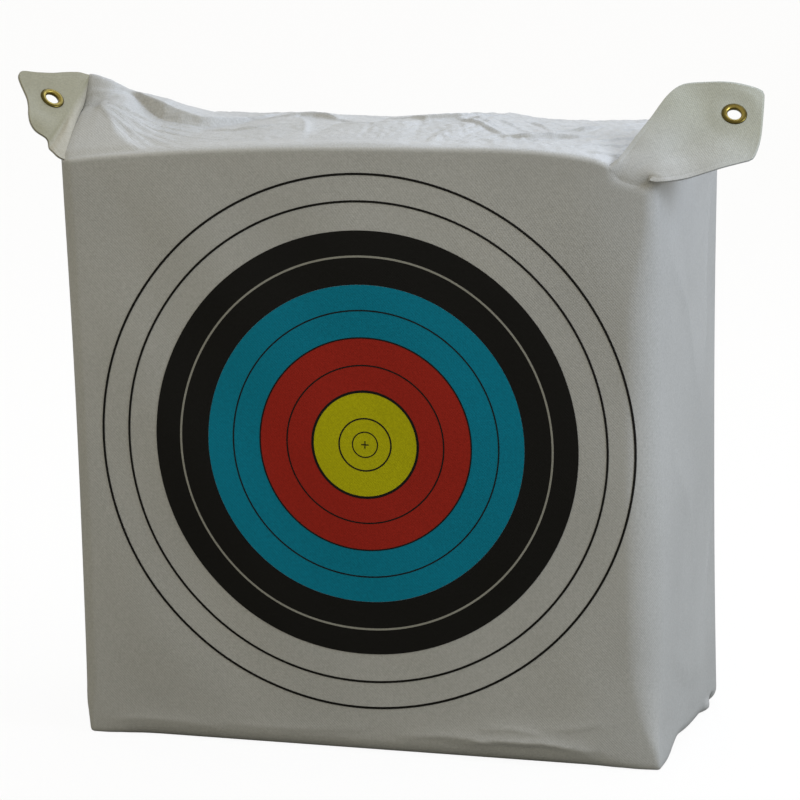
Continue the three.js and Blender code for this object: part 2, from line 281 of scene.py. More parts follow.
def crumple(x, y, seed, size):
    """Fine creases: the sharp crests of many waves that run in mixed directions."""
    dice = np.random.default_rng(seed)
    total = np.zeros_like(x)
    for _ in range(WAVES):
        angle, phase = dice.uniform(0, np.pi), dice.uniform(0, 2 * np.pi)
        length = size * dice.uniform(0.7, 1.8)
        beside = (x * np.sin(angle) - y * np.cos(angle)) / (2.7 * length)
        bend = dice.uniform(0.5, 1.4) * np.sin(beside + phase)
        wave = np.sin((x * np.cos(angle) + y * np.sin(angle)) / length + bend + phase)
        total += (1 - np.abs(wave)) ** 2
    return total / WAVES - 0.3


STEP = [
    # X and Y of the foot, height, depth, and the share of the height where its ledge is
    (-321.2, -42, 9.4, 22, 0.2), (-306.7, -42.6, 9.6, 22, 0.2), (-294.8, -35.5, 8.6, 16, 0.2),
    (-286.2, -24, 6.4, 9, 0.2), (-277.7, -18.5, 5.2, 7, 0.2), (-271.5, -20, 7.2, 6, 0.2),
    (-263.8, -29, 9.2, 7, 0.2), (-256.8, -35, 11.2, 7, 0.25), (-248.3, -42, 13.4, 9, 0.45),
    (-240.2, -47.6, 15, 10, 0.58), (-232.5, -51.7, 15, 10, 0.58), (-223.5, -52, 13, 9, 0.55),
    (-214.2, -53, 11.8, 8, 0.43), (-203.5, -51.5, 10.4, 7, 0.25), (-192.2, -51.5, 9.4, 7, 0.15),
    (-182.8, -44.5, 9.2, 6, 0.2), (-175.7, -37, 8.4, 6, 0.2), (-160.7, -19.5, 6, 6, 0.2),
    (-148, -4, 4.2, 5, 0.2), (-134, 8, 3, 5, 0.2), (-121, 30, 1.4, 5, 0.2), (-115, 50, 0, 4, 0.2),
]
STEP_DIP, STEP_REACH, STEP_REAR, STEP_LIP = (0.55, 0.30), (0.042, 0.016), 0.055, 0.0014
SKYLINE = [(-330, 0), (-312, 3), (-300, 5), (-262, 3), (-235, 5), (-210, 4.5), (-180, 2),
           (-150, -1), (-105, 0), (-75, -3), (-30, -4.5), (0, -5.5), (40, -2), (85, -1),
           (120, -1), (160, -5), (215, -5), (260, -1), (330, 0)]
FACET_SLOPES, FACET_FALL, FACET_EDGE = (0.10, 0.52), 0.024, 0.006
FACET_RIDGE = [(-330, -44), (-318.3, -51.5), (-301.1, -65.6), (-292.8, -76.5), (-283.7, -90.9),
               (-271.8, -112), (-259.6, -124.8), (-244, -137.8), (-230, -149), (-220, -160)]
FAN_FOCUS = (-0.3180, -0.0560)
FAN_ANGLES = (2, -4, -9, -15, -19, -25, -29, -34, -39, -45)


def along_path(x, y, path):
    """For each point: its distance from the path, its side, its share along it, where they meet."""
    runs = np.linalg.norm(np.diff(path, axis=0), axis=1)
    ends = np.append(0, np.cumsum(runs)) / runs.sum()
    nearest, side, share = np.full(x.shape, np.inf), np.zeros(x.shape), np.zeros(x.shape)
    meet = [np.zeros(x.shape), np.zeros(x.shape)]
    for (ax, ay), (bx, by), low, high in zip(path, path[1:], ends, ends[1:]):
        dx, dy = bx - ax, by - ay
        t = np.clip(((x - ax) * dx + (y - ay) * dy) / (dx * dx + dy * dy), 0, 1)
        apart = np.hypot(x - ax - t * dx, y - ay - t * dy)
        closer = apart < nearest
        nearest = np.where(closer, apart, nearest)
        side = np.where(closer, (y - ay) * dx - (x - ax) * dy, side)
        share = np.where(closer, low + t * (high - low), share)
        meet = [np.where(closer, ax + t * dx, meet[0]), np.where(closer, ay + t * dy, meet[1])]
    return nearest, side, share, meet


def facet_room(x, y):
    """How far the facet's plane stands above the plain top."""
    plane = FACET_SLOPES[0] * (x + HALF[0]) + FACET_SLOPES[1] * (y + HALF[1])
    return np.maximum(plane - top_lift(x, y), 0)


def facet(x, y):
    """A flat plane below the left ear, up to a ridge behind which the cloth falls away again.
    Returns what it adds to the top, and how surely a point lies on the flat part."""
    apart, side, _, meet = along_path(x, y, np.array(FACET_RIDGE) / 1000)
    behind = np.where(side > 0, apart, 0.0)
    inside = (side <= 0) & (x < -0.18)
    falling = facet_room(*meet) * np.exp(-behind / FACET_FALL)
    return (np.where(inside, facet_room(x, y), falling),
            np.where(inside, smoothstep(apart, 0.0, FACET_EDGE), 0.0))


def step(x, y):
    """The step behind the bright fan: the top drops before its foot and stands higher behind it."""
    xs, feet, heights, depths, ledges = (np.array(STEP) / [1000, 1000, 1000, 1000, 1]).T
    over = y - np.interp(x, xs, feet)
    height, depth, ledge = [np.interp(x, xs, values) for values in (heights, depths, ledges)]
    up = np.clip(over / depth, 0, 1)
    rise = ledge * smoothstep(up, 0, 0.85 * ledge) + (1 - ledge) * smoothstep(up, ledge + 0.10, 1)
    dip = STEP_DIP[0] + STEP_DIP[1] * smoothstep(-x, 0.262, 0.284)
    reach = STEP_REACH[0] - STEP_REACH[1] * smoothstep(-x, 0.270, 0.300)
    front = -dip * np.exp(-(np.minimum(over, 0) / reach) ** 2) * (1 - rise)
    rear = (1 - dip) * np.exp(-(np.maximum(over - depth, 0) / STEP_REAR) ** 2) * rise
    lip = STEP_LIP * np.exp(-np.abs(up - ledge - 0.06) / 0.10)
    lip *= smoothstep(height, 0.007, 0.012)
    return height * (front + rear) + lip


def fan_pleats(x, y):
    """Pleats that spread from the ear's root over the bright zone in front of the step."""
    dx, dy = x - FAN_FOCUS[0], y - FAN_FOCUS[1]
    reach = np.hypot(dx, dy)
    turn = np.degrees(np.arctan2(dy, dx))
    total = np.zeros_like(x)
    for k, middle in enumerate(FAN_ANGLES):
        wobble = middle + 1.8 * np.sin(reach / 0.019 + 2.1 * k)
        off = np.radians(turn - wobble) * reach
        height, width = 0.0008 + 0.0004 * ((k * 5) % 3), 0.0016 + 0.0008 * (k % 2)
        total += height * np.exp(-np.abs(off) / width)
    return total * smoothstep(reach, 0.008, 0.030) * (1 - smoothstep(reach, 0.110, 0.165))


def crease(x, y, path, height, wide, steep):
    """A fold along a line of points, in millimetres, which fades at both ends."""
    nearest, side, share, _ = along_path(x, y, np.array(path) / 1000)
    width = np.where(side < 0, steep, wide) / 1000
    return height / 1000 * np.exp(-nearest / width) * np.sin(np.pi * (0.06 + 0.88 * share)) ** 0.7


def creases(x, y, table):
    """The height of all the creases of a table."""
    return sum(crease(x, y, *row) for row in table)


CREASES = [
    # path in X and Y, height, width behind, width in front
    ([(-170, -69), (-148, -73), (-127, -68), (-107, -58)], 3, 8, 1.5),
    ([(-104, 5), (-92, 9), (-79, 10), (-64, 4), (-48, -12)], 7, 24, 3),
    ([(-90, -10), (-76, -45), (-66, -85)], 4.8, 5, 20),
    ([(-45, -48), (0, -56), (50, -50)], 8.5, 30, 45),
    ([(28, -10), (52, -26), (86, -12), (104, 6)], 7, 30, 4),
    ([(104, 20), (110, -30), (96, -90)], 3, 8, 18),
    ([(88, -22), (108, -44), (127, -63), (150, -89)], 4.4, 11, 1.5),
    ([(100, -10), (116, -30), (138, -58)], 2.7, 8, 1.5),
    ([(118, 0), (140, -22), (160, -48)], 2.4, 8, 1.5),
    ([(150, 10), (172, -12), (188, -42)], 2.2, 8, 1.5),
    ([(156, -93), (180, -95), (194, -84), (207, -74), (230, -64)], 6.4, 16, 1.4),
    ([(206, -38), (222, -27), (238, -8)], 4.2, 12, 1.5),
    ([(232, -118), (262, -98), (292, -72)], 2.8, 9, 1.8),
    ([(240, -92), (262, -70), (282, -44)], 2.2, 7, 1.5),
    ([(250, -134), (275, -124), (296, -104)], 2.4, 8, 1.5),
    ([(-222, 60), (-160, 78), (-80, 90)], 3, 10, 7),
    ([(10, 104), (80, 92), (150, 85)], 3.2, 12, 7),
    ([(170, 105), (230, 92), (280, 70)], -3.4, 9, 6),
    ([(-290, 60), (-262, 96), (-230, 120)], 4, 11, 6),
]
FINE_PLEATS = [([(78 + 5.8 * k, 6 * k - 134), (88 + 6.2 * k, 6 * k - 70)],
                1.9 + 0.5 * (k % 2), 1.8, 1.4) for k in range(7)]


def top_folds(x, y):
    """Everything that the folds add to the plain top, in metres."""
    pulled, flat = facet(x, y)
    skyline = np.interp(x, *np.array(SKYLINE).T / 1000)
    total = pulled + step(x, y) + skyline * smoothstep(y, -0.145, -0.050)
    total += fan_pleats(x, y) * (1 - 0.8 * flat) + creases(x, y, CREASES + FINE_PLEATS)
    calm = 1 - 0.75 * np.exp(-((x - 0.005) / 0.045) ** 2)
    busy = (0.45 + 0.75 * smoothstep(x, 0.03, 0.12)) * calm * (1 - 0.8 * flat)
    large = 0.0024 * crumple(x, 2.4 * y, seed=3, size=0.011)
    small = 0.0018 * crumple(x, 1.5 * y, seed=8, size=0.0052)
    return total + busy * (large + small)


print(len(CREASES), "creases and", len(FINE_PLEATS), "fine pleats")

# %% [markdown]
# ## Cover cloth
# The cover is woven from flat, glossy plastic tapes 1.6 mm wide. A bump texture is enough for
# the weave, because it is finer than the eye resolves at this distance, but it must follow the
# cloth round every fold. It is therefore drawn in the cloth's own UVs, which are in metres.
# A wave along the warp times a wave along the weft gives the over and under of a plain weave.
# A second UV layer holds the direction and distance from the left ear's root, for fine lines.

# %% Woven cloth and its shader helpers
TAPE = 0.0016


def srgb(red, green, blue):
    return tuple(c / 12.92 if c <= 0.04045 else ((c + 0.055) / 1.055) ** 2.4
                 for c in (red / 255, green / 255, blue / 255)) + (1.0,)


class Nodes:
    """A short way to add shader nodes to one tree."""

    def __init__(self, tree):
        self.tree = tree

    def node(self, kind, inputs=None, **settings):
        node = self.tree.nodes.new("ShaderNode" + kind)
        for key, value in settings.items():
            setattr(node, key, value)
        for key, value in (inputs or {}).items():
            if isinstance(value, bpy.types.NodeSocket):
                self.tree.links.new(value, node.inputs[key])
            else:
                node.inputs[key].default_value = value
        return node

    def math(self, operation, a, b=0.0):
        return self.node("Math", {0: a, 1: b}, operation=operation).outputs[0]

    def noise(self, scale, detail=3.0, rough=0.5):
        place = self.node("TexCoord").outputs["Object"]
        return self.node("TexNoise", {"Vector": place, "Scale": scale, "Detail": detail,
                                      "Roughness": rough}).outputs["Fac"]

    def spread(self, value, low, high, start=0.3, end=0.7):
        return self.node("MapRange", {0: value, 1: start, 2: end, 3: low, 4: high}).outputs[0]

    def mix(self, share, first, second, how="MIX"):
        node = self.node("Mix", {0: share, 6: first, 7: second}, data_type="RGBA", blend_type=how)
        return node.outputs[2]

    def uv(self, layer):
        return self.node("SeparateXYZ", {0: self.node("UVMap", uv_map=layer).outputs[0]}).outputs


class Recipe(Nodes):
    """The nodes of one material."""

    def __init__(self, name, **sockets):
        self.material = bpy.data.materials.new(name)
        self.material.use_nodes = True
        super().__init__(self.material.node_tree)
        self.shader = self.tree.nodes["Principled BSDF"]
        for socket, value in sockets.items():
            self.shader.inputs[socket.replace("_", " ")].default_value = value

    def set(self, socket, value):
        self.tree.links.new(value, self.shader.inputs[socket])

    def streaks(self):
        """Fine lines along the pull of the left ear: a bump height and its strength."""
        pull = self.uv("pull")
        turn, reach = pull[0], pull[1]
        along = self.node("CombineXYZ", {0: turn, 1: self.math("MULTIPLY", reach, 0.10)}).outputs[0]
        fine = self.node("TexNoise", {"Vector": along, "Scale": 420, "Detail": 3.0,
                                      "Distortion": 0.4}).outputs["Fac"]
        strong = self.spread(reach, 0.50, 0.16, 0.10, 0.20)
        on_fan = self.spread(turn, 0.25, 1.0, -0.105, -0.088)
        on_top = self.spread(reach, 1.0, 0.0, 0.75, 0.80)
        return fine, self.math("MULTIPLY", self.math("MULTIPLY", strong, on_fan), on_top)

    def bump(self, *layers):
        normal = None
        for height, strength, distance in layers:
            inputs = {"Strength": strength, "Distance": distance, "Height": height}
            if normal is not None:
                inputs["Normal"] = normal
            normal = self.node("Bump", inputs).outputs[0]
        self.set("Normal", normal)

    def weave(self, pitch):
        """Height of a plain weave, from -1 to 1, and how near a point is to a gap of the tapes."""
        uv = self.uv("cloth")
        waves = [self.math("SINE", self.math("MULTIPLY", uv[k], math.pi / pitch)) for k in (0, 1)]
        height = self.math("MULTIPLY", *waves)
        gap = self.math("MINIMUM", *[self.math("ABSOLUTE", wave) for wave in waves])
        return height, gap


def woven(name, colour, roughness, gap_shade=0.90, relief=0.00012, blotch=0.05, gloss=0.5,
          root=None, pulled=False):
    """root is (tone there, slope of its edge, where on the cloth it turns into the colour)."""
    recipe = Recipe(name, Specular_IOR_Level=gloss, Sheen_Weight=0.04)
    height, gap = recipe.weave(TAPE)
    tint = srgb(*colour)
    if root:
        uv = recipe.uv("cloth")
        out = recipe.math("ADD", uv[1], recipe.math("MULTIPLY", uv[0], root[1]))
        tint = recipe.mix(recipe.spread(out, 0, 1, *root[2]), srgb(*root[0]), tint)
    patches = recipe.spread(recipe.noise(5.5, 4.0), 1 - blotch, 1 + blotch)
    threads = recipe.spread(recipe.noise(430, 3.0, 0.7), 0.88, 1.12)
    shade = recipe.math("MULTIPLY", patches, threads)
    shade = recipe.math("MULTIPLY", shade, recipe.spread(gap, gap_shade, 1.0, 0.0, 0.35))
    tone = recipe.node("CombineXYZ", {0: shade, 1: shade, 2: shade}).outputs[0]
    recipe.set("Base Color", recipe.mix(1.0, tint, tone, "MULTIPLY"))
    polish = recipe.noise(9.0, 3.0)
    recipe.set("Roughness", recipe.spread(polish, roughness - 0.06, roughness + 0.06))
    streaks = [(*recipe.streaks(), 0.0020)] if pulled else []
    recipe.bump(*streaks, (recipe.noise(210, 4.0, 0.6), 0.45, 0.0006), (height, 0.6, relief))
    return recipe.material


COVER_TONE = (178, 179, 181)
cloth = woven("glossy_woven_cloth", COVER_TONE, 0.42, pulled=True)
print("cloth", cloth.name, "of tapes", TAPE * 1000, "mm wide")

# %% [markdown]
# ## The cover
# The six panels are sewn into one sack and read as one skin, so they are one mesh here. The
# folds of the top fade out on the front, which the filling holds flat. The sides, the back and
# the hem have a few creases of their own, which only stand outwards, clear of the inner sack.
# A slow swell of under a millimetre keeps the front from looking like a board. The print
# later follows the same swell.

# %% Cover mesh
FRONT_EDGE = [(-0.33, 0), (0.10, 0), (0.20, 0.003), (0.262, 0.004), (0.285, 0), (0.33, 0)]
UNDER_EAR = 0.0055


def front_swell(x, z):
    """How far the flat front stands out or in at one place, in world X and Z."""
    inside = np.clip(np.minimum(0.325 - np.abs(x), np.minimum(z - 0.02, 0.665 - z)) / 0.08, 0, 1)
    swell = (0.0008 * np.sin(x / 0.031 + 1.1) * np.sin(z / 0.043 + 0.4)
             + 0.0006 * np.sin((x + 0.6 * z) / 0.026 + 2.0))
    return swell * inside


HEM_CREASES = [
    # path in X and Z on the front, height, width above and below it
    ([(-300, 16), (-262, 20), (-220, 20), (-170, 17)], 1.6, 10, 4),
    ([(-180, 22), (-120, 20), (-60, 22), (-10, 26)], 1.2, 12, 5),
    ([(40, 20), (80, 24), (115, 24), (140, 20)], 2.4, 10, 4),
    ([(110, 19), (150, 23), (200, 24), (250, 18)], 5.8, 14, 4),
    ([(130, 36), (165, 38), (195, 35)], 1.4, 6, 3),
    ([(205, 40), (235, 43), (270, 52)], 1.2, 10, 5),
]
BACK_CREASES = [
    # path in X and Z on the back, height, width on its two sides
    ([(-310, 600), (-240, 545), (-180, 470)], 4.5, 26, 12),
    ([(-315, 540), (-270, 470), (-245, 380)], 3.6, 24, 10),
    ([(305, 610), (230, 560), (150, 530)], 4.5, 26, 12),
    ([(300, 500), (240, 430), (205, 330)], 3.6, 24, 10),
    ([(-120, 610), (0, 592), (110, 612)], 3.6, 20, 12),
    ([(-290, 60), (-200, 44), (-100, 62)], 4, 18, 10),
    ([(-40, 50), (90, 40), (230, 70)], 4, 18, 10),
    ([(120, 250), (60, 180), (-20, 140)], 3, 34, 22),
]
SIDE_CREASES = [
    # path in Y and Z on both sides, height, width on its two sides
    ([(-95, 560), (-30, 500), (20, 400)], 2.6, 20, 8),
    ([(110, 590), (75, 520), (60, 430)], 2, 18, 9),
    ([(-80, 110), (-10, 70), (70, 60)], 2.6, 16, 8),
    ([(115, 230), (80, 150), (95, 70)], 2, 18, 9),
    ([(-70, 330), (-10, 270), (10, 190)], 1.8, 24, 12),
]


def drapes(x, y, z):
    """How far the folds of the two sides and of the back stand out, below the slack top."""
    low, wrap, inside = BAG[2] - z, smoothstep(z, 0.02, 0.12), HALF[0] - np.abs(x)
    side = 0.0007 * np.sin(y / 0.021 + 1.3 * np.sin(z / 0.09))
    side += 0.0010 * np.sin(z / 0.060 + y / 0.06) + creases(y, z, SIDE_CREASES)
    on_side = smoothstep(np.abs(x), HALF[0] - 0.016, HALF[0])
    on_side *= smoothstep(HALF[1] - np.abs(y), 0.0, 0.05) * smoothstep(low, 0.0, 0.05)
    back = 0.0020 * np.sin(x / 0.036 + 1.7 * np.sin(z / 0.12)) * smoothstep(inside, 0, 0.06)
    back += creases(x, z, BACK_CREASES) * smoothstep(inside, 0, 0.04)
    on_back = (y > HALF[1] - 0.016) * smoothstep(low, 0.0, 0.04)
    return np.sign(x) * side * on_side * wrap, back * on_back * wrap


def cover_points(places):
    """The skin of the bag with its folds, at these places of the plain block."""
    points = bag_points(places)
    x, y, z = places.T
    slack = smoothstep(z, BAG[2] - 0.085, BAG[2] - 0.004)
    points[:, 2] += top_folds(x, y) * slack * smoothstep(y, -HALF[1], -HALF[1] + 0.016)
    edge = np.interp(x, *np.array(FRONT_EDGE).T) * (1 - smoothstep(y, -0.145, -0.050))
    points[:, 2] += edge * smoothstep(z, BAG[2] - SLACK_HEIGHT, BAG[2])
    # the corner gives way under the root of the right ear
    under = smoothstep(x, 0.274, 0.290) * (1 - smoothstep(x, 0.314, HALF[0]))
    under *= (1 - smoothstep(y, -0.136, -0.120)) * smoothstep(z, BAG[2] - 0.020, BAG[2] - 0.002)
    points += np.outer(UNDER_EAR * under, (0, 0.7, -0.7))
    side, back = drapes(x, y, z)
    points[:, 0] += side
    points[:, 1] += back
    on_front = y < -HALF[1] + 0.001
    points[:, 1] -= np.where(on_front, front_swell(points[:, 0], points[:, 2]), 0.0)
    near_front = 1 - smoothstep(y, -HALF[1], -HALF[1] + 0.02)
    points[:, 1] -= creases(x, z, HEM_CREASES) * near_front
    return points


cover = add_mesh("woven_cover", cover_points(cover_places), cover_faces, cover_uvs)
corners = np.zeros(len(cover.data.loops), np.int32)
cover.data.loops.foreach_get("vertex_index", corners)
from_root = cover_places[corners, :2] - FAN_FOCUS
reach = np.where(cover_places[corners, 2] > BAG[2] - 1e-6, np.hypot(*from_root.T), 1.0)
turn = np.arctan2(from_root[:, 1], from_root[:, 0])
pull = np.stack([0.12 * turn, reach], axis=1).astype(np.float32)
cover.data.uv_layers.new(name="pull").data.foreach_set("uv", pull.ravel())
cover.data.materials.append(cloth)
PANELS = ["front_panel", "back_panel", "left_side_panel", "right_side_panel", "top_panel",
          "bottom_panel"]
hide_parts(*PANELS)
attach(cover, "bag")
print("cover measures", [round(v, 3) for v in cover.dimensions])

# %% [markdown]
# ## Letting the slack top settle
# The folds so far are drawn. Real slack cloth also buckles by itself, because there is more of it
# than the gap needs. A cloth simulation gives that: the top is copied, its border is held, its
# inside is held only weakly, and the cloth grows by one or two parts in a hundred. What moved is
# added to the cover, with a cap, and the copy is thrown away.

# %% Settled top
GROWTH, HOLD, SETTLE_CAP, SETTLE_FRAMES = 0.014, 0.22, 0.005, 18


def settled(points):
    """How far each point of the top moves when the slack cloth settles."""
    top = np.flatnonzero(cover_places[:, 2] > BAG[2] - 1e-6)
    number = {v: k for k, v in enumerate(top)}
    faces = [[number[v] for v in face] for face in cover_faces if all(v in number for v in face)]
    patch = add_mesh("slack_top", points[top], faces)
    x, y = cover_places[top, :2].T
    rim = np.minimum(HALF[0] - np.abs(x), HALF[1] - np.abs(y))
    free = smoothstep(rim, 0.014, 0.040) * (0.25 + 0.75 * smoothstep(x, -0.20, 0.02))
    free *= 1 - (x > HALF[0] - 0.065) * (y < -HALF[1] + 0.036)
    held = patch.vertex_groups.new(name="held")
    for k, weight in enumerate(1 - (1 - HOLD) * free):
        held.add([k], float(weight), "REPLACE")
    sheet = patch.modifiers.new("settle", "CLOTH").settings
    sheet.quality, sheet.mass, sheet.air_damping = 6, 0.12, 2.0
    sheet.tension_stiffness, sheet.compression_stiffness, sheet.shear_stiffness = 25, 25, 8
    sheet.bending_stiffness = 0.25
    sheet.vertex_group_mass, sheet.pin_stiffness = "held", 1.0
    sheet.shrink_min = -GROWTH
    sheet.effector_weights.gravity = 0.02
    scene = bpy.context.scene
    for frame_number in range(1, SETTLE_FRAMES + 1):
        scene.frame_set(frame_number)
    dressed = patch.evaluated_get(bpy.context.evaluated_depsgraph_get())
    moved = np.array([v.co for v in dressed.data.vertices]) - points[top]
    scene.frame_set(1)
    bpy.data.objects.remove(patch)
    far = np.linalg.norm(moved, axis=1)
    share = np.minimum(far, SETTLE_CAP) / np.maximum(far, 1e-9) * smoothstep(free, 0.0, 0.3)
    moved *= share[:, None]
    print("settled: mean %.2f mm, most %.2f mm" % (far.mean() * 1000, far.max() * 1000))
    return top, moved


start = np.array([v.co for v in cover.data.vertices])
top, moved = settled(start)
start[top] += moved
cover.data.vertices.foreach_set("co", start.ravel())
cover.data.update()

# %% [markdown]
# ## Inside the sack
# Nobody sees the filling until the cover is changed, but it carries the shape: an inner sack
# open at its mouth, and six pressed layers of waste fibre that stop the arrow. They use the
# block's own mapping at a greater depth, so each one fits in the next without touching.

# %% Inner sack and filling
CLOTH_DEPTH = 0.0021
FILL_DEPTH = 0.0034
LAYERS, LAYER_GAP = 6, 0.0005
LINER_TOP, FILL_TOP = BAG[2] - 0.030, BAG[2] - 0.045
LINER_THICKNESS = 0.0006
LUMP_WAVES = [((1, 0.3, 0.5), 0.3), ((-0.4, 0.6, 1.1), 1.9), ((0.7, -0.8, 0.6), 4.2),
              ((0.2, 1.2, -0.9), 2.6)]


def lumps(points, size, amount):
    """Presses soft lumps into a surface, never outwards, so that layers stay apart."""
    wave = sum(np.sin(points @ np.array(way) / size + phase) for way, phase in LUMP_WAVES)
    return amount * (wave / len(LUMP_WAVES) - 1) / 2


def shrunk(places, centre, amount):
    """Moves each place along its line from the centre, nearer where the amount is negative."""
    away = places - centre
    return places + away / np.linalg.norm(away, axis=1)[:, None] * amount[:, None]


def rim_faces(faces, count):
    """Joins the open edge of a sheet to that of its copy, whose vertices are count further on."""
    once = {(f[k], f[(k + 1) % len(f)]) for f in faces for k in range(len(f))}
    return [(b, a, a + count, b + count) for a, b in once if (b, a) not in once]


def woven_liner():
    recipe = Recipe("loose_woven_liner", Specular_IOR_Level=0.35)
    height, gap = recipe.weave(0.0042)
    patches = recipe.spread(recipe.noise(12, 3.0), 0, 1)
    tint = recipe.mix(patches, srgb(176, 180, 176), srgb(196, 198, 192))
    in_gap = recipe.spread(gap, 0.45, 0.0, 0.0, 0.3)
    recipe.set("Base Color", recipe.mix(in_gap, tint, srgb(120, 122, 118)))
    recipe.set("Roughness", recipe.spread(recipe.noise(30, 2.0), 0.72, 0.88))
    recipe.bump((height, 0.6, 0.0004))
    return recipe.material


def pressed_fibre():
    recipe = Recipe("pressed_fibre", Specular_IOR_Level=0.25, Sheen_Weight=0.2)
    wisps = recipe.noise(90, 8.0, 0.7)
    flecks = recipe.noise(260, 4.0, 0.6)
    tint = recipe.mix(recipe.spread(wisps, 0, 1), srgb(112, 115, 120), srgb(172, 172, 168))
    blue = recipe.spread(flecks, 0, 0.5, 0.55, 0.7)
    recipe.set("Base Color", recipe.mix(blue, tint, srgb(86, 96, 118)))
    recipe.set("Roughness", recipe.spread(wisps, 0.86, 0.98))
    recipe.bump((wisps, 0.8, 0.004), (flecks, 0.5, 0.001))
    return recipe.material


liner_lines = [grid_lines(-HALF[0], HALF[0], FOLD_SIDE, FOLD_SIDE, step=0.016),
               grid_lines(-HALF[1], HALF[1], FOLD_SIDE, FOLD_SIDE, step=0.014),
               np.append(FOLD_BOTTOM * FOLD_SHARES, np.linspace(FOLD_BOTTOM, LINER_TOP, 42))]
places, faces, uvs = block_skin(liner_lines, open_top=True)
centre = np.array([0, 0, HALF[2]])
outer = bag_points(places, CLOTH_DEPTH)
outer = shrunk(outer, centre, lumps(outer, size=0.024, amount=0.0005))
inner = bag_points(places, CLOTH_DEPTH + LINER_THICKNESS)
inner = shrunk(inner, centre, lumps(inner, size=0.024, amount=0.0003))
count = len(places)
rim = rim_faces(faces, count)
inner_faces = [[v + count for v in reversed(f)] for f in faces]
inner_uvs = [uv for k in range(0, len(uvs), 4) for uv in reversed(uvs[k:k + 4])]
liner = add_mesh("woven_inner_sack", np.vstack([outer, inner]), faces + inner_faces + rim,
                 uvs + inner_uvs + [(0, 0)] * 4 * len(rim))
liner.data.materials.append(woven_liner())
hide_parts("inner_sack")
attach(liner, "bag")

fibre = pressed_fibre()
for layer in range(LAYERS):
    front = -HALF[1] + BAG[1] / LAYERS * layer
    back = front + BAG[1] / LAYERS - LAYER_GAP
    lines = [np.linspace(-HALF[0], HALF[0], 44), np.linspace(front, back, 6),
             np.linspace(0, FILL_TOP, 44)]
    places, faces, uvs = block_skin(lines)
    middle = np.array([0, (front + back) / 2, FILL_TOP / 2])
    points = bag_points(places, FILL_DEPTH)
    middle = bag_points(middle[None], FILL_DEPTH)[0]
    points = shrunk(points, middle, lumps(points + layer, size=0.011, amount=0.0022))
    slab = add_mesh("pressed_fibre_%d" % (layer + 1), points, faces, uvs)
    slab.data.materials.append(fibre)
    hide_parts("fill_layer_%d" % (layer + 1))
    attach(slab, "bag")
print(LAYERS, "pressed layers in", liner.name)

# %% [markdown]
# ## The print
# The face is screen printed in five colours, two zones to a colour, with thin rings between the
# zones. A texture would blur when it is baked, so every colour and every line is its own thin
# ring of ink. The rings lie on the swelling front and show the weave through the ink.

# %% Printed rings
FACE_CENTRE = (0.0045, 0.3516)
INK_SEGMENTS, INK_THICKNESS, CORE_RADIUS = 200, 0.00012, 0.004


def ink(name, colour):
    return woven(name, colour, 0.46, gap_shade=0.94, relief=0.00008, blotch=0.04, gloss=0.10)


gold_ink = ink("gold_ink", (184, 181, 8))
red_ink = ink("red_ink", (160, 38, 28))
blue_ink = ink("blue_ink", (2, 126, 158))
black_ink = ink("black_ink", (20, 19, 17))
pale_ink = ink("unprinted_line", (150, 150, 146))


def front_depth(flat):
    """Y of the cover's front at these world X and Z, found by walking the block's places there."""
    places = np.column_stack([flat[:, 0], np.full(len(flat), -HALF[1]), flat[:, 1]])
    for _ in range(6):
        landed = cover_points(places)
        places[:, [0, 2]] += flat - landed[:, [0, 2]]
    return cover_points(places)[:, 1]


def face_outwards(thing):
    edit = bmesh.new()
    edit.from_mesh(thing.data)
    bmesh.ops.recalc_face_normals(edit, faces=edit.faces)
    edit.to_mesh(thing.data)
    edit.free()


def ink_shell(name, outlines, height, closed_core=False):
    """A thin solid of ink between concentric outlines that lie on the front of the bag."""
    loops, size = len(outlines), len(outlines[0])
    points = np.array([(FACE_CENTRE[0] + x, -out, FACE_CENTRE[1] + z)
                       for out in (height, height - INK_THICKNESS)
                       for outline in outlines for x, z in outline])
    faces = []

    def at(side, loop, k):
        return (side * loops + loop) * size + k % size

    for k in range(size):
        for a in range(loops - 1):
            b = a + 1
            faces.append((at(0, a, k), at(0, b, k), at(0, b, k + 1), at(0, a, k + 1)))
            faces.append((at(1, a, k), at(1, a, k + 1), at(1, b, k + 1), at(1, b, k)))
        last = loops - 1
        faces.append((at(0, last, k), at(1, last, k), at(1, last, k + 1), at(0, last, k + 1)))
        if not closed_core:
            faces.append((at(0, 0, k), at(0, 0, k + 1), at(1, 0, k + 1), at(1, 0, k)))
    if closed_core:
        faces.append([at(0, 0, k) for k in range(size)])
        faces.append([at(1, 0, k) for k in reversed(range(size))])
    flat = points[:, [0, 2]]
    points[:, 1] += front_depth(flat)
    thing = add_mesh(name, points, faces, [flat[v] for face in faces for v in face], smooth=False)
    face_outwards(thing)
    return thing


def ring_outlines(inner, outer):
    radii = np.linspace(inner, outer, max(2, round((outer - inner) / 0.0075) + 1))
    turn = np.linspace(0, 2 * np.pi, INK_SEGMENTS, endpoint=False)
    return [np.stack([r * np.cos(turn), r * np.sin(turn)], axis=1) for r in radii]


def printed(name, inner, outer, material, height, node=None):
    start = inner if inner > 0 else CORE_RADIUS
    ring = ink_shell(name, ring_outlines(start, outer), height, closed_core=inner == 0)
    ring.data.materials.append(material)
    if node:
        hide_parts(node)
    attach(ring, "bag")


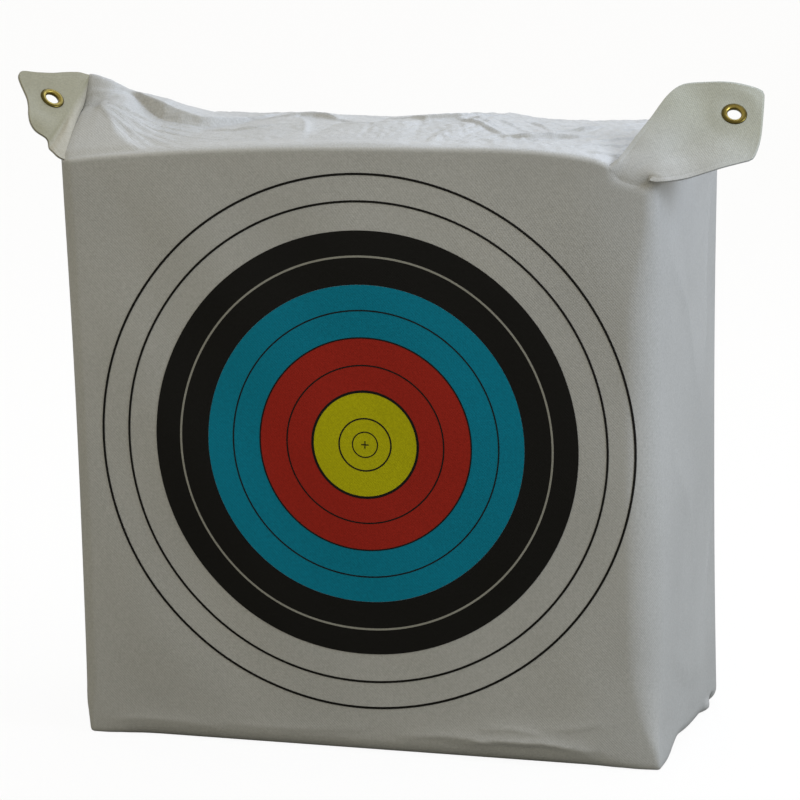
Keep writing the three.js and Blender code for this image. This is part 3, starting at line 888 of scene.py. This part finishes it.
INK_LOW, INK_LINE, INK_TOP = 0.00045, 0.00062, 0.00075
printed("gold_zone", 0, 0.0590, gold_ink, INK_LOW, "printed_gold")
printed("red_zone", 0.0594, 0.1192, red_ink, INK_LOW, "printed_red")
printed("blue_zone", 0.1194, 0.1783, blue_ink, INK_LOW, "printed_blue")
printed("black_zone", 0.1785, 0.2383, black_ink, INK_LOW, "printed_black")
printed("outer_ring_line_1", 0.2688, 0.2713, black_ink, INK_LOW, "printed_line_9")
printed("outer_ring_line_2", 0.2987, 0.3013, black_ink, INK_LOW, "printed_line_10")

THIN_LINES = [
    # name, middle radius, width, ink
    ("inner_ten_line", 0.0141, 0.0013, black_ink),
    ("ten_line", 0.0292, 0.0017, black_ink),
    ("gold_edge_line", 0.0594, 0.0028, black_ink),
    ("red_middle_line", 0.0885, 0.0016, black_ink),
    ("red_edge_line", 0.1193, 0.0016, black_ink),
    ("blue_middle_line", 0.1498, 0.0016, black_ink),
    ("black_middle_line", 0.2097, 0.0022, pale_ink),
]
for name, radius, width, material in THIN_LINES:
    printed(name, radius - width / 2, radius + width / 2, material, INK_LINE)

arm, half = 0.0042, 0.00060
cross = [(half, half), (arm, half), (arm, -half), (half, -half), (half, -arm), (-half, -arm),
         (-half, -half), (-arm, -half), (-arm, half), (-half, half), (-half, arm), (half, arm)]
mark = ink_shell("centre_cross", [np.array(cross)], INK_TOP, closed_core=True)
mark.data.materials.append(black_ink)
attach(mark, "bag")
print("printed", 6 + len(THIN_LINES), "rings and a centre cross")

# %% [markdown]
# ## The ears
# At each front top corner the sack is sewn flat into a two-ply ear, about 88 mm on its sewn
# sides. An ear is a sheet, so each ply is a grid between the ear's root on the bag and its
# outer edge. The plies of an ear share one outline. Each runs on past the root as a tongue
# that merges into the cover, because on the real sack the ear is the cover.

# %% Ear frames
PLY_HALF, PLY_MIDDLE = 0.00050, 0.00075
SOLID_CLOTH = 0.0016
SEWN_SIDE, RIGHT_ROOT = 0.088, 0.052
SEAM_INSET, SEAM_WIDTH, SEAM_DEPTHS = 0.0052, 0.0011, {"left": 0.00012, "right": 0.00035}
HOLE_CUT, HOLE_PULL, HOLE_RADIUS = 0.0090, 0.0100, 0.0096
PLY_COLUMNS, PLY_ROWS, LYING_ROWS, BEND_ROWS = 72, 50, 6, 9
ROOT_SHARES = np.linspace(0, 1, PLY_COLUMNS)
# outlines in millimetres along the root and out from it
LEFT_EDGE = [(0, 0), (0.5, 9), (8.3, 17.8), (18.2, 23.5), (22.1, 38.8), (30.1, 47.8),
             (40.7, 52.5), (52.7, 55), (64.1, 58.7), (74.2, 64.5), (84.3, 70.3), (95.1, 75),
             (102.5, 74.2), (106.8, 70.2), (112.7, 55.6), (120.9, 40.2), (132.2, 25.3), (142, 10),
             (145.4, 0)]
RIGHT_EDGE = [(0, 0), (6.5, 24.5), (11, 47.5), (16.1, 75.2), (20.6, 104.3), (25.1, 122.1),
              (31.3, 134.9), (41.7, 143.2), (60.7, 151.2), (80.6, 157.4), (101, 161.7),
              (111, 162.7), (116, 160.5), (119, 154), (126.9, 127.3), (134.2, 99.4), (136.2, 81),
              (134.5, 71.5), (125.8, 62), (105.8, 41.7), (90.4, 27.7), (79, 17.2), (68.7, 9.6),
              (56.5, 2.2), (46.4, 0)]


def unit(vector):
    return vector / np.linalg.norm(vector)


class Ear:
    """An ear's own frame: X along its root, Y outwards and Z to its front."""

    def __init__(self, name, start, end, lift, facing, tilt, edge, eyelet):
        self.name = name
        places = np.array([start, end])
        skin, under = [bag_points(places, depth, dressed=False) for depth in (0.0, SOLID_CLOTH)]
        self.root = skin + np.array([unit(v) for v in skin - under]) * lift
        self.lift, self.outward = lift, unit((skin - under).mean(axis=0))
        facing, tilt = math.radians(facing), math.radians(tilt)
        front = np.array([math.sin(facing) * math.cos(tilt), -math.cos(facing) * math.cos(tilt),
                          math.sin(tilt)])
        self.along = unit(self.root[1] - self.root[0])
        self.out = unit(np.cross(front, self.along))
        self.front = np.cross(self.along, self.out)
        self.length = np.linalg.norm(self.root[1] - self.root[0])
        self.edge = np.array(edge) / 1000
        self.channel = SEAM_DEPTHS[name]
        self.eyelet = np.array(eyelet)

    def world(self, local):
        return self.root[0] + local @ np.array([self.along, self.out, self.front])

    def matrix(self):
        columns = np.eye(4)
        columns[:3, 0], columns[:3, 1], columns[:3, 2] = self.along, self.out, self.front
        columns[:3, 3] = self.world(np.append(self.eyelet, 0.0))
        return Matrix(columns.tolist())


left_ear = Ear("left", (-HALF[0], -HALF[1], BAG[2]), (-HALF[0], -HORN_FORWARD, BAG[2]),
               lift=0.0016, facing=52, tilt=46, edge=LEFT_EDGE,
               eyelet=(0.94 * SEWN_SIDE, 0.36 * SEWN_SIDE))
right_ear = Ear("right", (HALF[0] - RIGHT_ROOT, -HALF[1], BAG[2]),
                (HALF[0] - 0.006, -HALF[1], BAG[2] - 0.003),
                lift=0.004, facing=13.5, tilt=47, edge=RIGHT_EDGE,
                eyelet=(1.1 * SEWN_SIDE, 1.355 * SEWN_SIDE))
for ear in (left_ear, right_ear):
    print(ear.name, "ear root is", round(ear.length * 1000), "mm long")

# %% [markdown]
# ## Ear plies
# A grid is pulled between the root and the outer edge, waved a little, pressed flat where the
# eyelet clamps it, and then given its thickness. A shallow channel runs where the hem is sewn.

# %% Ear plies


def smooth_path(corners, count):
    """Points at even steps along a rounded line through the given corners."""
    corners = np.asarray(corners, float)
    guides = np.vstack([2 * corners[0] - corners[1], corners, 2 * corners[-1] - corners[-2]])
    fine = []
    for a, b, c, d in zip(guides, guides[1:], guides[2:], guides[3:]):
        t = np.linspace(0, 1, 12, endpoint=False)[:, None]
        fine.append(0.5 * (2 * b + (c - a) * t + (2 * a - 5 * b + 4 * c - d) * t ** 2
                           + (3 * b - a - 3 * c + d) * t ** 3))
    fine = np.vstack(fine + [corners[-1:]])
    run = np.append(0, np.cumsum(np.linalg.norm(np.diff(fine, axis=0), axis=1)))
    even = np.linspace(0, run[-1], count)
    return np.stack([np.interp(even, run, fine[:, k]) for k in range(fine.shape[1])], 1)


def thick_sheet(name, points, faces, uvs, half_thickness):
    """Gives an open sheet two faces and a rim, by moving it half a thickness each way."""
    flat = add_mesh(name, points, faces)
    normals = np.empty(len(points) * 3)
    flat.data.vertices.foreach_get("normal", normals)
    normals = normals.reshape(-1, 3)
    bpy.data.objects.remove(flat)
    count = len(points)
    back = [tuple(v + count for v in reversed(f)) for f in faces]
    faces = faces + back + rim_faces(faces, count)
    corner_uvs = [uvs[v % count] for f in faces for v in f]
    both = np.vstack([points + normals * half_thickness, points - normals * half_thickness])
    return add_mesh(name, both, faces, corner_uvs)


LEFT_CREASE = [(0.0106, 0.0195), (0.0456, 0.0122), (0.0751, 0.0061), (0.104, 0.001),
               (0.144, 0.0005)]


def ear_wave(ear, x, y):
    """Slow waves of an ear, zero at its root and where the eyelet holds it flat."""
    if ear.name == "left":
        wave = 0.0030 * np.sin((x - 0.012) / 0.0165) * np.exp(-((x - 0.033) / 0.030) ** 2)
        wave *= smoothstep(y, 0.01, 0.04)
        wave += 0.0015 * np.sin((x * 0.6 + y) / 0.014 + 0.8) * smoothstep(y, 0.02, 0.06)
        wave -= 0.0030 * np.exp(-((y - np.interp(x, *np.array(LEFT_CREASE).T)) / 0.0045) ** 2)
    else:
        wave = 0.0030 * np.sin((x - 0.30 * y) / 0.0125 + 0.9)
        wave *= smoothstep(y, 0.02, 0.05) * (1 - smoothstep(y, 0.06, 0.11))
        wave += 0.0024 * np.sin((x + 0.9 * y) / 0.019 + 2.2) * smoothstep(y, 0.06, 0.13)
    clamp = smoothstep(np.hypot(x - ear.eyelet[0], y - ear.eyelet[1]), 0.015, 0.034)
    return wave * clamp * smoothstep(y, 0.001, 0.012)


def knee_of(ear, foot, root):
    """Where the line of the panel and the plane of the ear meet, before the hidden corner."""
    back = (foot[:, 1] - root[:, 1]) / ear.out[1]
    return root + np.outer(back, ear.out)


def ply_grid(ear, side):
    """Rows of world places from the ear's root to its edge, on the front or the back ply."""
    edge, outline = smooth_path(ear.edge, PLY_COLUMNS), smooth_path(ear.edge, 150)
    root = np.stack([ear.length * ROOT_SHARES, np.zeros(PLY_COLUMNS)], axis=1)
    grid = []
    for row in range(PLY_ROWS):
        t = (row / (PLY_ROWS - 1)) ** 0.95
        flat = (1 - t) * root + t * edge
        hem = np.minimum.reduce([np.hypot(*(flat - spot).T) for spot in outline])
        channel = -ear.channel * np.exp(-((hem - SEAM_INSET) / SEAM_WIDTH) ** 2)
        depth = side * (PLY_MIDDLE + channel) + ear_wave(ear, flat[:, 0], flat[:, 1])
        ends = np.minimum(np.hypot(*flat.T), np.hypot(flat[:, 0] - ear.length, flat[:, 1]))
        down = ear.lift * (1 - smoothstep(ends, 0, 0.014))
        grid.append(ear.world(np.column_stack([flat, depth])) - np.outer(down, ear.outward))
    return np.array(grid)


def with_tongue(ear, side, grid):
    """The grid with new lowest rows that lie on the cover and bend up, and how many are new."""
    reach = np.sin(np.pi * np.clip(ROOT_SHARES, 0.002, 0.998)) ** 0.6
    foot, rest, bend_share = TONGUES[ear.name, side](ROOT_SHARES, reach)
    lift_row = np.searchsorted(np.linspace(0, 1, PLY_ROWS), bend_share)
    lying = np.linspace(0, 1, LYING_ROWS + 1)[:-1, None, None]
    lying = (1 - lying) * foot + lying * rest
    knee = 0.9 * grid[0] + 0.1 * rest
    if side > 0 and ear.name == "right":
        knee = knee_of(ear, rest, grid[0])
    bend = np.linspace(0, 1, lift_row + BEND_ROWS)[:, None, None]
    bent = (1 - bend) ** 2 * rest + 2 * bend * (1 - bend) * knee + bend ** 2 * grid[lift_row]
    return np.vstack([lying, bent, grid[lift_row + 1:]]), len(lying) + len(bent) - 1


def punched(ear, side, local):
    """The faces of the grid outside the eyelet's hole, and the points that they use."""
    faces = []
    for row in range(len(local) // PLY_COLUMNS - 1):
        for a in range(row * PLY_COLUMNS, (row + 1) * PLY_COLUMNS - 1):
            face = (a, a + 1, a + PLY_COLUMNS + 1, a + PLY_COLUMNS)
            if np.hypot(*(local[list(face), :2].mean(axis=0) - ear.eyelet)) > HOLE_CUT:
                faces.append(face if side > 0 else face[::-1])
    used = sorted({v for f in faces for v in f})
    index = {v: k for k, v in enumerate(used)}
    return [tuple(index[v] for v in f) for f in faces], used


def ear_ply(ear, side):
    """One ply with its tongue and hole: side is 1 for the front ply and -1 for the back one."""
    sheet, new = with_tongue(ear, side, ply_grid(ear, side))
    local = (sheet - ear.root[0]) @ np.array([ear.along, ear.out, ear.front]).T
    # the new rows are laid out flat below the root, each at its length from the one above
    uvs = local[:, :, :2].copy()
    for row in reversed(range(new)):
        gone = np.linalg.norm(sheet[row + 1] - sheet[row], axis=1)
        uvs[row, :, 1] = uvs[row + 1, :, 1] - gone
    uvs = uvs.reshape(-1, 2) + ROOT_UVS[ear.name]
    local = local.reshape(-1, 3)
    faces, used = punched(ear, side, local)
    points, uvs, local = sheet.reshape(-1, 3)[used], uvs[used], local[used]
    near = local[:, :2] - ear.eyelet
    apart = np.linalg.norm(near, axis=1)
    close = apart < HOLE_PULL
    local[close, :2] = ear.eyelet + near[close] / apart[close, None] * HOLE_RADIUS
    points[close] = ear.world(local[close])
    name = "%s_ear_%s_cloth" % (ear.name, "front" if side > 0 else "back")
    ply = thick_sheet(name, points, faces, uvs, PLY_HALF)
    edit = bmesh.new()
    edit.from_mesh(ply.data)
    bmesh.ops.remove_doubles(edit, verts=edit.verts, dist=0.00002)
    bmesh.ops.dissolve_degenerate(edit, edges=edit.edges, dist=0.00001)
    edit.to_mesh(ply.data)
    edit.free()
    ply.data.materials.append(EAR_CLOTHS[ear.name, side])
    return ply


ROOT_UVS = {"left": (-HALF[1], HALF[0]), "right": (HALF[0] - RIGHT_ROOT, BAG[2])}
# painted shade: the ear is the cover's own cloth, here painted darker and more olive than the
# cover, fading back to the cover's tone at its root
right_ear_painted_shade_cloth = woven("ear_cloth", (155, 156, 145), 0.46,
                    root=(COVER_TONE, 0.0, (BAG[2] + 0.010, BAG[2] + 0.105)))
# painted shade: the left ear's front ply is the cover's cloth painted a darker olive, with a
# lighter painted tone near its root where the facet beside it catches the light; it is also matter
# than the cover
left_ear_painted_shade_cloth = woven("matt_ear_cloth_painted_shade", (141, 138, 118), 0.52, gap_shade=0.96, relief=0.00006,
                   gloss=0.35,
                   root=((166, 162, 150), 0.20, (HALF[0] - 0.0125, HALF[0] - 0.0045)))
EAR_CLOTHS = {("left", 1): left_ear_painted_shade_cloth, ("left", -1): cloth,
              ("right", 1): right_ear_painted_shade_cloth, ("right", -1): cloth}


def on_cover(x, y, z, inward):
    """Points of the cover at these block places, some way under its skin."""
    places = np.column_stack(np.broadcast_arrays(x, y, z)).astype(float)
    skin = cover_points(places)
    inwards = np.array([unit(v) for v in bag_points(places, SOLID_CLOTH) - bag_points(places)])
    return skin + inwards * np.reshape(inward, (-1, 1))


# Each tongue gives where it starts inside the cover, where it comes out, and the share of the
# ear's rows over which it then bends up. s runs along the root, r is how far it reaches in.
def left_front(s, r):
    y = -HALF[1] + 0.128 * s
    return (on_cover(-HALF[0] + 0.004 * r + 0.001, y, BAG[2], 0.0012),
            on_cover(-HALF[0] + 0.001 * r, y, BAG[2], 0.0004), 0.10)


def left_back(s, r):
    y = -HALF[1] + 0.002 + 0.124 * s
    return (on_cover(-HALF[0], y, BAG[2] - 0.024 * r - 0.001, 0.0012),
            on_cover(-HALF[0], y, BAG[2] - 0.012 * r - 0.001, 0.0004), 0.16)


def right_front(s, r):
    x = HALF[0] - RIGHT_ROOT + 0.047 * s
    return (on_cover(x, -HALF[1], BAG[2] - 0.024 * r - 0.001, 0.0009),
            on_cover(x, -HALF[1], BAG[2] - 0.009 * r - 0.001, 0.0004 - 0.0003 * r), 0.18)


def right_back(s, r):
    x = HALF[0] - RIGHT_ROOT + 0.046 * s
    return (on_cover(x, -HALF[1] + 0.026 * r + 0.001, BAG[2], 0.0012),
            on_cover(x, -HALF[1] + 0.014 * r + 0.001, BAG[2], 0.0004), 0.16)


TONGUES = {("left", 1): left_front, ("left", -1): left_back,
           ("right", 1): right_front, ("right", -1): right_back}
BLEND_WAY = {"left": left_ear.out, "right": np.array([0.2, 0.15, 0.97])}

for ear in (left_ear, right_ear):
    way = BLEND_WAY[ear.name]
    way = unit(way - way @ ear.along * ear.along)
    middle = ear.root.mean(axis=0)
    for side, word in ((1, "front"), (-1, "back")):
        ply = ear_ply(ear, side)
        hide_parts("%s_ear_%s_ply" % (ear.name, word))
        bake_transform(ply)
        area = sum(p.area for p in ply.data.polygons) / 2
        local = np.array([v.co for v in ply.data.vertices]) - ear.root[0]
        size = [float(np.ptp(local @ axis)) for axis in (ear.along, ear.out)]
        size[1] = max(size[1], area / size[0] * 1.02)
        print(ply.name, "is", [round(v * 1000) for v in size], "mm flat,", round(area * 1e4), "cm2")

# %% [markdown]
# ## Eyelets
# A brass eyelet is one tube with a domed flange in front. Behind the ear it passes through a
# washer and is rolled over it. All of it is turned, so a profile is spun about the hole.

# %% Brass and turned parts


def brass_finish():
    """Painted reflection: bright at the crest and round the hole, darker and greener out to the
    rim, mottled by tarnish.
    """
    recipe = Recipe("worn_brass", Metallic=1.0)
    tarnish = recipe.noise(170, 5.0, 0.6)
    # painted reflection: a ring of light is painted at the crest and the hole, fading to a painted
    # dark reflection on the outer flange; only the noise is tarnish
    painted_crest_reflection = recipe.spread(recipe.uv("cloth")[1], 1.0, 0.15, 0.0098, 0.0122)
    crest_reflection_and_tarnish = recipe.math("MULTIPLY", painted_crest_reflection, recipe.spread(tarnish, 0.45, 1))
    recipe.set("Base Color", recipe.mix(crest_reflection_and_tarnish, srgb(58, 50, 20), srgb(146, 128, 64)))
    recipe.set("Roughness", recipe.spread(recipe.noise(240, 4.0), 0.18, 0.34))
    recipe.bump((recipe.noise(900, 2.0), 0.15, 0.0001))
    return recipe.material


def turned(name, profile, ear, segments=72):
    """Spins a closed profile of (radius, height) pairs in millimetres about the eyelet's hole."""
    radii, heights = np.array(profile).T / 1000
    points, faces, size = [], [], len(profile)
    for k in range(segments):
        turn = 2 * np.pi * k / segments
        points += [(r * math.cos(turn), r * math.sin(turn), h) for r, h in zip(radii, heights)]
        for j in range(size):
            a, b = k * size, (k + 1) % segments * size
            faces.append((a + j, b + j, b + (j + 1) % size, a + (j + 1) % size))
    places = [(math.atan2(y, x), math.hypot(x, y)) for x, y, _ in points]
    thing = add_mesh(name, points, faces, [places[v] for f in faces for v in f])
    face_outwards(thing)
    thing.data.transform(ear.matrix())
    return thing


def arc(centre, radii, start, end, steps):
    turns = np.radians(np.linspace(start, end, steps))
    return [(centre[0] + radii[0] * math.cos(t), centre[1] + radii[1] * math.sin(t)) for t in turns]


brass = brass_finish()
FRONT, BACK = 1.35, -1.35
eyelet_profile = (
    [(7.5, -0.6), (7.4, 0.3)]
    + arc((10.4, 0.5), (3.0, 2.5), 178, 92, 10)
    + arc((10.7, FRONT + 0.2), (3.1, 1.45), 88, 6, 9)
    + [(13.9, FRONT + 0.08), (13.5, FRONT + 0.02)]
    + arc((10.8, FRONT), (2.4, 0.9), 12, 90, 6)
    + [(8.9, 1.3), (8.2, 0.6), (8.2, -0.9), (8.6, BACK - 0.55)]
    + arc((9.5, BACK - 0.95), (1.0, 0.30), 120, -30, 6)
    + arc((9.4, BACK - 1.05), (1.3, 0.55), -30, -150, 7)
)
washer_profile = (
    arc((9.4, BACK - 0.38), (0.5, 0.26), 90, 270, 6)
    + [(10.6, BACK - 0.70), (12.2, BACK - 0.62)]
    + arc((12.7, BACK - 0.38), (0.5, 0.26), -80, 80, 6)
    + [(12.2, BACK - 0.10), (10.6, BACK - 0.12)]
)
for ear in (left_ear, right_ear):
    for word, profile in (("eyelet", eyelet_profile), ("eyelet_washer", washer_profile)):
        metal = turned("brass_%s_%s" % (ear.name, word), profile, ear)
        metal.data.materials.append(brass)
        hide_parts("%s_%s" % (ear.name, word))
        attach(metal, ear.name + "_ear")
print("two eyelets with their washers")

# %% [markdown]
# ## Light and floor
# The photograph is lit by a wide soft light from behind and above and a nearer one at the
# right, against white. The lamps repeat that. The world is white where the camera or a
# reflection looks at it, and dimmer where it lights the cloth. The floor is pale and shows a faint
# soft shadow, because part of it lets the white behind it through.

# %% Lamps, world and floor


def lamp(name, place, target, size, watts, colour):
    data = bpy.data.lights.new(name, "AREA")
    data.shape, data.size, data.size_y = "RECTANGLE", size[0], size[1]
    data.energy, data.color = watts, colour
    thing = bpy.data.objects.new(name, data)
    bpy.context.scene.collection.objects.link(thing)
    thing.location = place
    thing.rotation_euler = (Vector(target) - Vector(place)).to_track_quat("-Z", "Y").to_euler()


lamp("side_window", place=(2.2, -0.42, 1.68), target=(0.0, 0.0, 0.46), size=(1.0, 1.2),
     watts=38, colour=(0.75, 0.85, 1.0))
lamp("overhead_panel", place=(0.5, 1.5, 2.5), target=(0.0, 0.0, 0.6), size=(2.4, 1.4),
     watts=32, colour=(0.68, 0.79, 1.0))

AMBIENT, WHITE = (0.67, 0.625, 0.485, 1), (1, 1, 1, 1)
FLOOR_LIGHT, FLOOR_SEEN, FLOOR_OPEN = (0.20, 0.20, 0.185, 1), (0.95, 0.95, 0.95, 1), 0.94
world = bpy.data.worlds.new("pale_studio")
bpy.context.scene.world = world
world.use_nodes = True
air = Nodes(world.node_tree)
ray = air.node("LightPath").outputs
looked_at = air.math("MAXIMUM", ray["Is Camera Ray"], ray["Is Glossy Ray"])
looked_at = air.math("MAXIMUM", looked_at, ray["Is Transmission Ray"])
background = air.tree.nodes["Background"]
air.tree.links.new(air.mix(looked_at, AMBIENT, WHITE), background.inputs["Color"])
background.inputs["Strength"].default_value = 1.0

bpy.ops.mesh.primitive_grid_add(x_subdivisions=8, y_subdivisions=8, size=14,
                                location=(0, 2.0, -0.0006))
floor = bpy.context.object
floor.name = "studio_floor"
pale = Recipe("pale_floor", Roughness=0.9, Specular_IOR_Level=0.1)
camera_ray = pale.node("LightPath").outputs["Is Camera Ray"]
pale.set("Base Color", pale.mix(camera_ray, FLOOR_LIGHT, FLOOR_SEEN))
half_open = pale.node("MixShader", {0: pale.math("MULTIPLY", camera_ray, FLOOR_OPEN),
                                    1: pale.shader.outputs[0],
                                    2: pale.node("BsdfTransparent").outputs[0]})
pale.tree.links.new(half_open.outputs[0], pale.tree.nodes["Material Output"].inputs["Surface"])
floor.data.materials.append(pale.material)

# %% [markdown]
# ## Finish
# The view transform stays plain, so that a colour looks as it is written.

# %% View transform
bpy.context.scene.view_settings.view_transform = "Standard"
